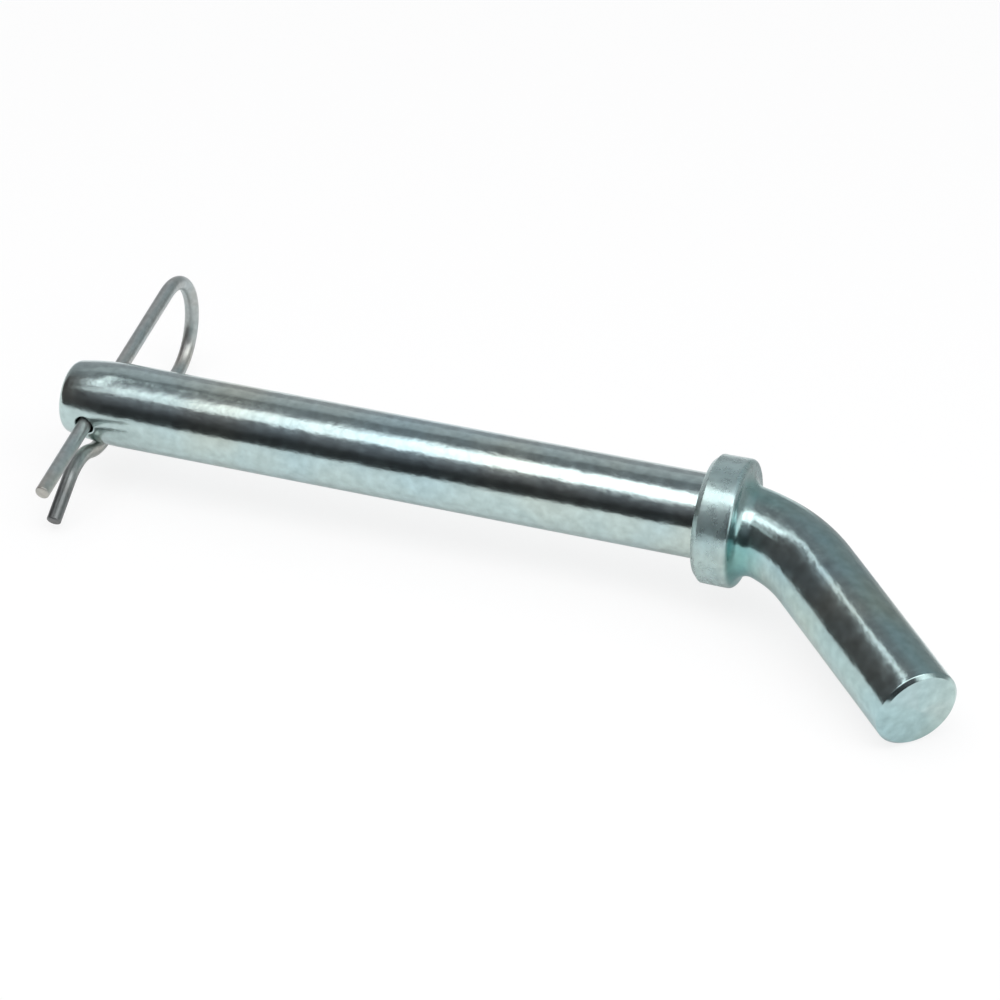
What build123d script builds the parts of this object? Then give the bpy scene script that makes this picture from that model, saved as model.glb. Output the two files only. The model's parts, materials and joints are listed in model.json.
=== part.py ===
from build123d import *
from math import asin, atan2, cos, degrees, hypot, pi, radians, sin, tan
import os

# A bent coupling pin with the spring clip that keeps it in its hole.
# Origin: centre of the collar's bearing face, on the shank's axis.
# +X runs from the tip to the handle. +Z is up with the pin lying as it comes to rest,
# on the end of its handle and on two places of its clip.

# ------------------------------------------------------------------ coupling pin
BAR_D = 16.0            # bar stock, shank and handle alike
SHANK_L = 127.0         # bearing face to the tip
NOSE_L = 12.0           # tapered lead-in, which steepens towards the tip
NOSE_TAPER = 4.2        # slope of its long part, in degrees
TIP_TAPER_L = 3.0       # its steeper last part
TIP_TAPER = 11.7
TIP_EDGE_R = 1.8        # rounding where the taper meets the end face
COLLAR_D = 24.0         # collar upset on the bar
COLLAR_T = 7.3
COLLAR_CHAMFER = 1.1    # rim towards the shank
COLLAR_EDGE_R = 1.1     # rounding of the rim towards the handle
COLLAR_COVE_R = 2.8     # forged cove between the collar and the handle
BEND_START = 1.5        # bearing face to the start of the bend, inside the collar
BEND_R = 30.0           # centreline radius of the bend
BEND_ANGLE = 46.0
GRIP_L = 38.0           # straight handle after the bend
GRIP_CHAMFER = 0.7
LIE_ROLL = 12.8         # how far the plane of the bend droops to the surface it lies on

# ------------------------------------------------------------------ cross hole
HOLE_PLAY = 0.9         # how much wider the hole is than the clip's wire
HOLE_SETBACK = 5.9      # hole's axis to the tip
HOLE_BREAK = 0.35       # broken edge at both mouths
HOLE_CLOCK = -2.0       # hole's axis from the plane of the bend

# ------------------------------------------------------------------ spring clip
WIRE_D = 2.8
LEG_TAIL = 27.5         # straight leg beyond the shank's axis
LOOP_REACH = 33.3       # shank's axis to the centre of the head loop
LOOP_R = 10.3           # centreline radius of the head loop
HUG_GAP = 0.2           # outer leg to the crest of the shank that it grips
HUG_R = 12.0            # centreline radius of the bend over the shank
HUG_HALF_ANGLE = 35.0   # half of that bend
NECK_R = 6.0            # reverse bend between the loop and the hug
WAIST_R = 10.2          # reverse bend between the hug and the flare
FLARE_ANGLE = 22.5
FLARE_L = 9.0           # straight flare after the waist
WIRE_CHAMFER = 0.3      # at both cut ends

# ------------------------------------------------------------------ worked out
bar_r = BAR_D / 2
wire_r = WIRE_D / 2
nose_start = NOSE_L - SHANK_L
hole_x = HOLE_SETBACK - SHANK_L


def nose_radius(along):
    """Radius of the tapered nose, at a distance along it from its start."""
    steep = max(along - (NOSE_L - TIP_TAPER_L), 0)
    return bar_r - (along - steep) * tan(radians(NOSE_TAPER)) - steep * tan(radians(TIP_TAPER))


roll = radians(LIE_ROLL)
bend_plane = Plane(origin=(0, 0, 0), x_dir=(1, 0, 0), z_dir=(0, -sin(roll), cos(roll)))
leg_turn = radians(LIE_ROLL + HOLE_CLOCK)
leg_direction = Vector(0, cos(leg_turn), sin(leg_turn))
clip_plane = Plane(origin=(hole_x, 0, 0), x_dir=leg_direction, z_dir=(-1, 0, 0))

# ------------------------------------------------------------------ coupling pin
with BuildPart() as coupling_pin:
    with BuildSketch(bend_plane) as turned_profile:
        with BuildLine():
            Polyline(
                (-SHANK_L, 0),
                (-SHANK_L, nose_radius(NOSE_L)),
                (TIP_TAPER_L - SHANK_L, nose_radius(NOSE_L - TIP_TAPER_L)),
                (nose_start, bar_r),
                (0, bar_r),
                (0, COLLAR_D / 2),
                (COLLAR_T, COLLAR_D / 2),
                (COLLAR_T, 0),
                close=True,
            )
        make_face()
        fillet(turned_profile.vertices().group_by(Axis.Y)[-1].sort_by(Axis.X)[-1], COLLAR_EDGE_R)
        chamfer(turned_profile.vertices().group_by(Axis.Y)[-1].sort_by(Axis.X)[0], COLLAR_CHAMFER)
        fillet(turned_profile.vertices().group_by(Axis.X)[0].sort_by(Axis.Y)[-1], TIP_EDGE_R)
    revolve(axis=Axis.X)

    with BuildLine(bend_plane) as handle_path:
        bend = JernArc((BEND_START, 0), (1, 0), BEND_R, -BEND_ANGLE)
        grip = Line(bend @ 1, bend @ 1 + bend % 1 * GRIP_L)
    with BuildSketch(Plane(origin=bend @ 0, z_dir=bend % 0)):
        Circle(bar_r)
    sweep(path=handle_path.wire())
    collar_back = coupling_pin.faces().filter_by(Plane.YZ).sort_by(Axis.X)[-1]
    fillet(collar_back.inner_wires()[0].edges(), COLLAR_COVE_R)
    chamfer(coupling_pin.faces().sort_by_distance(grip @ 1)[0].edges(), GRIP_CHAMFER)

    with BuildSketch(Plane(origin=clip_plane.origin, z_dir=leg_direction)):
        Circle((WIRE_D + HOLE_PLAY) / 2)
    extrude(amount=BAR_D, both=True, mode=Mode.SUBTRACT)
    hole_wall = coupling_pin.faces().sort_by_distance(clip_plane.origin)[0]
    chamfer(hole_wall.edges().filter_by(GeomType.LINE, reverse=True), HOLE_BREAK)

# ------------------------------------------------------------------ spring clip
# In the clip's plane, x runs along the straight leg to the head loop and y across to
# the outer leg. Each bend meets the next at a tangent.
hug_crest = nose_radius(NOSE_L - HOLE_SETBACK) + HUG_GAP + wire_r
hug_half = radians(HUG_HALF_ANGLE)
hug_centre = (0, hug_crest - HUG_R)
neck_centre = (
    (HUG_R + NECK_R) * sin(hug_half),
    hug_centre[1] + (HUG_R + NECK_R) * cos(hug_half),
)
waist_centre = (
    -(HUG_R + WAIST_R) * sin(hug_half),
    hug_centre[1] + (HUG_R + WAIST_R) * cos(hug_half),
)
loop_centre = (LOOP_REACH, LOOP_R)
across = loop_centre[0] - neck_centre[0]
rise = loop_centre[1] - neck_centre[1]
slant = degrees(atan2(rise, across) + asin((NECK_R + LOOP_R) / hypot(across, rise)))

with BuildPart() as spring_clip:
    with BuildLine(clip_plane) as wire_path:
        leg = Line((-LEG_TAIL, 0), (LOOP_REACH, 0))
        loop = CenterArc(loop_centre, LOOP_R, -90, 180 + slant)
        neck = CenterArc(neck_centre, NECK_R, slant - 90, -(slant + HUG_HALF_ANGLE))
        Line(loop @ 1, neck @ 0)
        CenterArc(hug_centre, HUG_R, 90 - HUG_HALF_ANGLE, 2 * HUG_HALF_ANGLE)
        waist_turn = HUG_HALF_ANGLE + FLARE_ANGLE
        waist = CenterArc(waist_centre, WAIST_R, HUG_HALF_ANGLE - 90, -waist_turn)
        flare = Line(waist @ 1, waist @ 1 + waist % 1 * FLARE_L)
    with BuildSketch(Plane(origin=leg @ 0, z_dir=leg_direction)):
        Circle(wire_r)
    sweep(path=wire_path.wire())
    for cut_end in (leg @ 0, flare @ 1):
        chamfer(spring_clip.faces().sort_by_distance(cut_end)[0].edges(), WIRE_CHAMFER)

# ------------------------------------------------------------------ labels and files
coupling_pin.part.label = "coupling_pin"
spring_clip.part.label = "spring_clip"
os.makedirs("parts", exist_ok=True)
export_step(coupling_pin.part, "parts/coupling_pin.step")
export_step(spring_clip.part, "parts/spring_clip.step")

for piece in (coupling_pin.part, spring_clip.part):
    print(piece.label, "valid", piece.is_valid, "volume", round(piece.volume, 1))
print("wire section times length", round(wire_path.wire().length * pi * wire_r**2, 1))
print("clip to pin", round(coupling_pin.part.distance_to(spring_clip.part), 3))
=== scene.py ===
"""Looks of a bent coupling pin and of the spring clip through its nose.

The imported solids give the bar's size, the tip, the way of the clip's leg and the floor's
height. Each piece is one closed surface worked out as arrays: the forging is a turned
profile that goes over into a tube along the bend, and the clip is a round wire carried
along tangent arcs. Sizes are in millimetres until a mesh is made, and then in metres.
"""
import sys

import json
import logging
import math
from dataclasses import dataclass, field
from enum import Enum

import bpy
import numpy as np
from mathutils import Matrix, Vector


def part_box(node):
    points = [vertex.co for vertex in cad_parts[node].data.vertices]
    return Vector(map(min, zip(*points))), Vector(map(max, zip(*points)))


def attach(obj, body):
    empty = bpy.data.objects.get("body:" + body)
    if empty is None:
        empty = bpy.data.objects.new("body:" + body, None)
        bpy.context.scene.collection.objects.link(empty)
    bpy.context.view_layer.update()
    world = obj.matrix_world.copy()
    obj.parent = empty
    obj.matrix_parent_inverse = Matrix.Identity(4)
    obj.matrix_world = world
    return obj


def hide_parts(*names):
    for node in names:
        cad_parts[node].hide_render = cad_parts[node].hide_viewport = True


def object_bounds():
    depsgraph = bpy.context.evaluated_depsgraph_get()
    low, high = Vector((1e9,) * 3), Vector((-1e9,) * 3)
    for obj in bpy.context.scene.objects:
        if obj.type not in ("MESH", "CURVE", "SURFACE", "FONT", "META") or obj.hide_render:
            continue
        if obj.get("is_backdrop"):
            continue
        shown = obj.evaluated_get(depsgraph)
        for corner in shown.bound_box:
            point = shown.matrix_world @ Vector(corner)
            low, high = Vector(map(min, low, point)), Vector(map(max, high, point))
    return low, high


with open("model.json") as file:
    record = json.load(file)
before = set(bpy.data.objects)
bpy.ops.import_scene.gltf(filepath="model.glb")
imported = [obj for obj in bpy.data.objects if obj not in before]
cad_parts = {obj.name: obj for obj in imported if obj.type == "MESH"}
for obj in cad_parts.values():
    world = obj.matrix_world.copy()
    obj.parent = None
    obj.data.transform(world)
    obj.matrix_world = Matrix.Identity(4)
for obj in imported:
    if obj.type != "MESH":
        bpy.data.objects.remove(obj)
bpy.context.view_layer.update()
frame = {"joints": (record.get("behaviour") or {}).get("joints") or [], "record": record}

MM = 0.001
Colour = tuple[float, float, float]
WHITE = (1.0, 1.0, 1.0)
log = logging.getLogger("coupling_pin")


class Body(Enum):
    """Bodies of the frame that the pieces ride on."""

    PIN = "pin"
    CLIP = "clip"


class Slot(Enum):
    """Material slots of the record."""

    PLATE = "zinc_plated_steel"
    WIRE = "spring_wire"


class Mark(Enum):
    """Vertex attributes that the finishes read: the place on the straight bar, and two shares."""

    STRAIGHT = "unbent"
    FORGED = "forged"
    # Share of painted shade in the corner behind the collar, strongest on the lower side.
    CORNER_SHADE = "pooled"


class Socket(Enum):
    """Kinds of socket of a shader node group."""

    COLOUR = "NodeSocketColor"
    FLOAT = "NodeSocketFloat"
    VECTOR = "NodeSocketVector"


# ------------------------------------------------------------------ arrays and meshes


def arc(centre: tuple[float, float], radius: float, start: float, sweep: float, count: int) -> np.ndarray:
    """Points of a plane arc: centre + radius times (cos a, sin a), a in even steps.

    Args:
        centre: The arc's centre.
        radius: Its radius.
        start: First angle, in degrees.
        sweep: Angle from first to last, in degrees, positive anticlockwise.
        count: How many points, both ends included.

    Returns:
        An array of count by 2.
    """
    angles = np.radians(np.linspace(start, start + sweep, count))
    return np.array(centre) + radius * np.stack([np.cos(angles), np.sin(angles)], axis=1)


def spaced(first: float, last: float, step: float) -> np.ndarray:
    """Even values from first up to, but without, last, no further apart than step."""
    count = max(1, math.ceil(abs(last - first) / step))
    return np.linspace(first, last, count, endpoint=False)


RIPPLE_WAVES = 24
RIPPLE_SPREAD = (0.6, 1.6)
RIPPLE_GAIN = 3.0


def ripple(points: np.ndarray, wavelength: float, stretch: float, seed: int) -> np.ndarray:
    """Smooth unevenness between about -1 and 1: the mean of plane waves, times a gain.

    The waves run in random directions, and each is a little shorter or longer than typical.

    Args:
        points: Positions, the last axis x, y, z.
        wavelength: Typical distance between two crests.
        stretch: How many times longer the waves are along x.
        seed: Number that fixes directions and phases.

    Returns:
        One value for each point.
    """
    draw = np.random.default_rng(seed)
    ways = draw.normal(size=(3, RIPPLE_WAVES))
    ways *= draw.uniform(*RIPPLE_SPREAD, RIPPLE_WAVES) / np.linalg.norm(ways, axis=0)
    ways[0] /= stretch
    phases = draw.uniform(0, 2 * np.pi, RIPPLE_WAVES)
    waves = np.sin(2 * np.pi * (points @ ways) / wavelength + phases)
    return waves.mean(axis=-1) * RIPPLE_GAIN


def ring_quads(first: np.ndarray, second: np.ndarray) -> np.ndarray:
    """Quads between closed rings of vertex numbers, the last axis running around them."""
    ahead_first, ahead_second = np.roll(first, -1, axis=-1), np.roll(second, -1, axis=-1)
    return np.stack([first, ahead_first, ahead_second, second], axis=-1).reshape(-1, 4)


def cap_triangles(centre: int, ring: np.ndarray) -> np.ndarray:
    """Triangles from a middle vertex to a closed ring around it."""
    return np.stack([np.full_like(ring, centre), np.roll(ring, -1), ring], axis=-1)


@dataclass
class Patchwork:
    """Blocks of vertices and faces that grow into one mesh. Sizes in millimetres."""

    blocks: list[np.ndarray] = field(default_factory=list)
    faces: list[np.ndarray] = field(default_factory=list)
    count: int = 0

    @property
    def points(self) -> np.ndarray:
        """All vertices so far, n by 3."""
        return np.concatenate(self.blocks)

    def add(self, points: np.ndarray) -> np.ndarray:
        """Adds a block of vertices.

        Args:
            points: Positions, the last axis x, y, z.

        Returns:
            The vertices' numbers, laid out as the block is.
        """
        numbers = self.count + np.arange(points[..., 0].size).reshape(points.shape[:-1])
        self.blocks.append(points.reshape(-1, 3))
        self.count += numbers.size
        return numbers

    def join(self, *rings: np.ndarray) -> None:
        """Joins closed rings of vertex numbers, one or several to an array, in their order."""
        ladder = np.concatenate([np.atleast_2d(ring) for ring in rings])
        self.faces.append(ring_quads(ladder[:-1], ladder[1:]))

    def close(self, rings: np.ndarray, numbers: np.ndarray) -> None:
        """Closes the first and the last ring of a tube, each with a vertex at its mean.

        Args:
            rings: Positions, rings by vertices by 3.
            numbers: The vertices' numbers, rings by vertices.
        """
        first, last = self.add(np.stack([rings[0].mean(0), rings[-1].mean(0)]))
        self.faces.append(cap_triangles(first, numbers[0]))
        self.faces.append(cap_triangles(last, numbers[-1])[:, [0, 2, 1]])

    def build(
        self, name: str, points: np.ndarray, unbent: np.ndarray, shares: dict[Mark, np.ndarray]
    ) -> bpy.types.Object:
        """Makes a smooth-shaded mesh object at the origin.

        Args:
            name: The object's name.
            points: Where the vertices come to lie in the frame, n by 3.
            unbent: Where each vertex lies on the straight bar or wire, kept for the finishes.
            shares: A share from 0 to 1 for each vertex, kept for the finishes.

        Returns:
            The object, linked to the scene.
        """
        mesh = bpy.data.meshes.new(name)
        sizes = np.concatenate([np.full(len(block), block.shape[1]) for block in self.faces])
        corners = np.concatenate([block.ravel() for block in self.faces])
        mesh.vertices.add(len(points))
        mesh.vertices.foreach_set("co", (points * MM).astype(np.float32).ravel())
        mesh.loops.add(len(corners))
        mesh.loops.foreach_set("vertex_index", corners.astype(np.int32))
        mesh.polygons.add(len(sizes))
        starts = np.concatenate([[0], np.cumsum(sizes)[:-1]])
        mesh.polygons.foreach_set("loop_start", starts.astype(np.int32))
        mesh.polygons.foreach_set("use_smooth", np.ones(len(sizes), bool))
        mesh.update(calc_edges=True)
        mesh.validate()
        straight = mesh.attributes.new(Mark.STRAIGHT.value, "FLOAT_VECTOR", "POINT")
        straight.data.foreach_set("vector", (unbent * MM).astype(np.float32).ravel())
        for mark, share in shares.items():
            kept = mesh.attributes.new(mark.value, "FLOAT", "POINT")
            kept.data.foreach_set("value", share.astype(np.float32))
        made = bpy.data.objects.new(name, mesh)
        bpy.context.scene.collection.objects.link(made)
        return made


def dress(
    made: bpy.types.Object, body: Body, node: str, material: bpy.types.Material
) -> bpy.types.Object:
    """Gives a piece its material, puts it on its body and lets it stand for its solid.

    Args:
        made: The piece.
        body: The body that it rides on.
        node: The solid that it stands for.
        material: Its material.

    Returns:
        The piece.
    """
    made.data.materials.append(material)
    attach(made, body.value)
    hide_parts(node)
    return made


# ------------------------------------------------------------------ shader nodes

Feed = bpy.types.NodeSocket | float


def add_node(
    tree: bpy.types.NodeTree, kind: str, feeds: dict[str | int, object] | None = None, **settings: object
) -> bpy.types.Node:
    """Adds a node, sets its properties and feeds its inputs.

    Args:
        tree: The node tree.
        kind: The node's type name.
        feeds: Input name or number to a value, or to the output socket that feeds it.
        settings: Properties of the node.

    Returns:
        The node.
    """
    node = tree.nodes.new(kind)
    for name, value in settings.items():
        setattr(node, name, value)
    for key, value in (feeds or {}).items():
        if isinstance(value, bpy.types.NodeSocket):
            tree.links.new(value, node.inputs[key])
        else:
            node.inputs[key].default_value = value
    return node


def metres(ends: tuple[float, float]) -> tuple[float, float]:
    """Two places in millimetres as metres."""
    return ends[0] * MM, ends[1] * MM


def rgba(colour: Colour) -> tuple[float, float, float, float]:
    """A colour with full alpha."""
    return (*colour, 1.0)


def ramp(
    tree: bpy.types.NodeTree, value: Feed, ends: tuple[float, float], top: float = 1.0, smooth: bool = True
) -> bpy.types.NodeSocket:
    """Adds a rise from 0 to a top, held beyond both ends.

    Args:
        tree: The node tree.
        value: What the rise follows.
        ends: Values at which it leaves 0 and at which it reaches the top, in either order.
        top: The highest outcome.
        smooth: Whether it eases in and out, and isn't straight.

    Returns:
        The socket with the outcome.
    """
    feeds = {"Value": value, "From Min": ends[0], "From Max": ends[1], "To Max": top}
    form = "SMOOTHSTEP" if smooth else "LINEAR"
    return add_node(tree, "ShaderNodeMapRange", feeds, interpolation_type=form).outputs[0]


def combined(tree: bpy.types.NodeTree, operation: str, *values: Feed) -> bpy.types.NodeSocket:
    """Socket with the outcome of a sum, product or the like."""
    return add_node(tree, "ShaderNodeMath", dict(enumerate(values)), operation=operation).outputs[0]


def mixed(
    tree: bpy.types.NodeTree, share: Feed, first: object, second: object, blend: str = "MIX"
) -> bpy.types.NodeSocket:
    """Socket with a colour that goes from the first to its blend with the second, by a share."""
    feeds = {0: share, 6: first, 7: second}
    return add_node(tree, "ShaderNodeMix", feeds, data_type="RGBA", blend_type=blend).outputs[2]


NOISE_MEAN = 0.5


def noise(tree: bpy.types.NodeTree, vector: Feed, scale: Feed, detail: float = 2.0) -> bpy.types.NodeSocket:
    """Socket with a noise between 0 and 1, which is NOISE_MEAN on average."""
    feeds = {"Vector": vector, "Scale": scale, "Detail": detail}
    return add_node(tree, "ShaderNodeTexNoise", feeds).outputs["Fac"]


def new_group(name: str, inputs: dict[str, Socket], outputs: dict[str, Socket]) -> bpy.types.NodeTree:
    """Starts a shader node group with named sockets.

    Args:
        name: The group's name.
        inputs: Socket name to its kind.
        outputs: Socket name to its kind.

    Returns:
        The group's tree, without nodes.
    """
    tree = bpy.data.node_groups.new(name, "ShaderNodeTree")
    for side, sockets in (("INPUT", inputs), ("OUTPUT", outputs)):
        for label, kind in sockets.items():
            tree.interface.new_socket(label, in_out=side, socket_type=kind.value)
    return tree


COOL_RANGE, WARM_RANGE = (0.45, 0.7), (0.5, 0.75)
WARM_OFFSET = (0.37, 0.11, 0.53)
HAMMERED_POWER = 3.0
SURFACE_SQUEEZE = {"Wave": 0.4, "Peel": 0.6, "Line": 0.02}


def plate_clouds_group() -> bpy.types.NodeTree:
    """Slow drift of a thin plated film from one tint to another, with matching gloss.

    Two noises of one scale, laid apart, move the colour from the main tint towards a cool
    one and a warm one, and a finer one moves the brightness and the roughness. Forged places
    are tinted, rougher and hazier, and the corner behind the collar takes a darker tint as
    painted shade.

    Returns:
        The group's tree.
    """
    colours = ("Main", "Cool", "Warm", "Forged Tint", "Pooled Tint")
    numbers = (
        "Drift Size", "Mottle Size", "Mottle Depth", "Roughness", "Roughness Spread", "Haze",
        "Forged", "Forged Roughness", "Forged Haze", "Pooled",
    )
    inputs = {"Vector": Socket.VECTOR}
    inputs |= dict.fromkeys(colours, Socket.COLOUR) | dict.fromkeys(numbers, Socket.FLOAT)
    results = {"Color": Socket.COLOUR, "Roughness": Socket.FLOAT, "Metallic": Socket.FLOAT}
    tree = new_group("plate_clouds", inputs, results)
    ins = add_node(tree, "NodeGroupInput").outputs
    outs = add_node(tree, "NodeGroupOutput").inputs
    apart = add_node(tree, "ShaderNodeMapping", {"Vector": ins["Vector"], "Location": WARM_OFFSET}).outputs[0]
    cool = ramp(tree, noise(tree, ins["Vector"], ins["Drift Size"]), COOL_RANGE, smooth=False)
    warm = ramp(tree, noise(tree, apart, ins["Drift Size"]), WARM_RANGE, smooth=False)
    film = mixed(tree, warm, mixed(tree, cool, ins["Main"], ins["Cool"]), ins["Warm"])
    dulled = mixed(tree, ins["Forged"], film, ins["Forged Tint"], blend="MULTIPLY")
    # Painted shade: the corner behind the collar takes the darker tint by its share.
    tinted = mixed(tree, ins["Pooled"], dulled, ins["Pooled Tint"], blend="MULTIPLY")
    fine = noise(tree, ins["Vector"], ins["Mottle Size"], detail=3.0)
    mottle = combined(tree, "SUBTRACT", fine, NOISE_MEAN)
    bright = combined(tree, "MULTIPLY_ADD", mottle, ins["Mottle Depth"], 1.0)
    colour = add_node(tree, "ShaderNodeVectorMath", {0: tinted, "Scale": bright}, operation="SCALE")
    hammered = combined(tree, "POWER", ins["Forged"], HAMMERED_POWER)
    spread = combined(tree, "MULTIPLY_ADD", mottle, ins["Roughness Spread"], ins["Roughness"])
    roughness = combined(tree, "MULTIPLY_ADD", hammered, ins["Forged Roughness"], spread)
    haze = combined(tree, "MULTIPLY_ADD", hammered, ins["Forged Haze"], ins["Haze"])
    tree.links.new(colour.outputs[0], outs["Color"])
    tree.links.new(roughness, outs["Roughness"])
    tree.links.new(combined(tree, "SUBTRACT", 1.0, haze), outs["Metallic"])
    return tree


def drawn_surface_group() -> bpy.types.NodeTree:
    """Height of a drawn and plated bar: long soft waves, orange peel and faint lines along it.

    Each is a noise squeezed along the bar, times its height, and the three are summed.

    Returns:
        The group's tree.
    """
    numbers = [f"{name} {measure}" for name in SURFACE_SQUEEZE for measure in ("Size", "Height")]
    inputs = {"Vector": Socket.VECTOR} | dict.fromkeys(numbers, Socket.FLOAT)
    tree = new_group("drawn_surface", inputs, {"Height": Socket.FLOAT})
    ins = add_node(tree, "NodeGroupInput").outputs
    outs = add_node(tree, "NodeGroupOutput").inputs
    total = 0.0
    for name, squeeze in SURFACE_SQUEEZE.items():
        scale = {"Vector": ins["Vector"], "Scale": (squeeze, 1, 1)}
        along = add_node(tree, "ShaderNodeMapping", scale).outputs[0]
        relief = noise(tree, along, ins[f"{name} Size"])
        total = combined(tree, "MULTIPLY_ADD", relief, ins[f"{name} Height"], total)
    tree.links.new(total, outs["Height"])
    return tree


@dataclass(frozen=True)
class ShaderKit:
    """The node groups that the finishes share."""

    clouds: bpy.types.NodeTree
    surface: bpy.types.NodeTree

    @classmethod
    def build(cls) -> "ShaderKit":
        """Builds each group once."""
        return cls(clouds=plate_clouds_group(), surface=drawn_surface_group())


@dataclass(frozen=True)
class PlatedSteel:
    """Steel under a thin film.

    Colours are linear, sizes are noise scales a metre, and heights are in millimetres.
    """

    name: str
    main: Colour
    cool: Colour
    warm: Colour
    roughness: float
    roughness_spread: float
    forged_tint: Colour
    forged_roughness: float
    forged_haze: float
    # Darker tint multiplied in as painted shade in the corner behind the collar.
    corner_shade_tint: Colour
    haze: float
    drift_size: float
    mottle_size: float
    mottle_depth: float
    wave_size: float
    wave_height: float
    peel_size: float
    peel_height: float
    line_size: float
    line_height: float

    def material(self, kit: ShaderKit) -> bpy.types.Material:
        """Makes the material.

        Args:
            kit: The shared node groups.

        Returns:
            A metallic material whose colour, gloss, haze and bump come from the groups.
        """
        made = bpy.data.materials.new(self.name)
        made.use_nodes = True
        tree = made.node_tree
        tree.nodes.clear()
        straight, forged, pooled = (
            add_node(tree, "ShaderNodeAttribute", attribute_name=mark.value).outputs for mark in Mark
        )
        clouds = add_node(tree, "ShaderNodeGroup", {
            "Vector": straight["Vector"],
            "Main": rgba(self.main), "Cool": rgba(self.cool), "Warm": rgba(self.warm),
            "Drift Size": self.drift_size,
            "Mottle Size": self.mottle_size, "Mottle Depth": self.mottle_depth,
            "Roughness": self.roughness, "Roughness Spread": self.roughness_spread, "Haze": self.haze,
            "Forged": forged["Fac"], "Forged Tint": rgba(self.forged_tint),
            "Forged Roughness": self.forged_roughness, "Forged Haze": self.forged_haze,
            "Pooled": pooled["Fac"], "Pooled Tint": rgba(self.corner_shade_tint),
        }, node_tree=kit.clouds)
        surface = add_node(tree, "ShaderNodeGroup", {
            "Vector": straight["Vector"],
            "Wave Size": self.wave_size, "Wave Height": self.wave_height,
            "Peel Size": self.peel_size, "Peel Height": self.peel_height,
            "Line Size": self.line_size, "Line Height": self.line_height,
        }, node_tree=kit.surface)
        bump = add_node(tree, "ShaderNodeBump", {
            "Height": surface.outputs["Height"], "Strength": 1.0, "Distance": MM,
        })
        shader = add_node(tree, "ShaderNodeBsdfPrincipled", {
            "Base Color": clouds.outputs["Color"], "Roughness": clouds.outputs["Roughness"],
            "Metallic": clouds.outputs["Metallic"], "Normal": bump.outputs["Normal"],
        })
        add_node(tree, "ShaderNodeOutputMaterial", {"Surface": shader.outputs["BSDF"]})
        return made


PLATE = PlatedSteel(
    name="zinc_plate",
    main=(0.475, 0.595, 0.585), cool=(0.44, 0.60, 0.63), warm=(0.53, 0.60, 0.54),
    roughness=0.18, roughness_spread=0.12, haze=0.0,
    forged_tint=(0.9, 0.92, 0.91), forged_roughness=0.1, forged_haze=0.2,
    # The corner behind the collar is darkened by this tint as painted shade.
    corner_shade_tint=(0.48, 0.76, 0.76),
    drift_size=45.0, mottle_size=500.0, mottle_depth=0.6,
    wave_size=160.0, wave_height=0.12,
    peel_size=900.0, peel_height=0.035,
    line_size=2500.0, line_height=0.003,
)
WIRE = PlatedSteel(
    name="clip_steel",
    main=(0.42, 0.45, 0.44), cool=(0.39, 0.45, 0.45), warm=(0.45, 0.44, 0.40),
    roughness=0.34, roughness_spread=0.1, haze=0.16,
    forged_tint=(0.4, 0.38, 0.38), forged_roughness=0.0, forged_haze=0.0,
    corner_shade_tint=(1.0, 1.0, 1.0),
    drift_size=120.0, mottle_size=900.0, mottle_depth=0.6,
    wave_size=300.0, wave_height=0.06,
    peel_size=1500.0, peel_height=0.02,
    line_size=4000.0, line_height=0.01,
)


# ------------------------------------------------------------------ the forging


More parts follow.
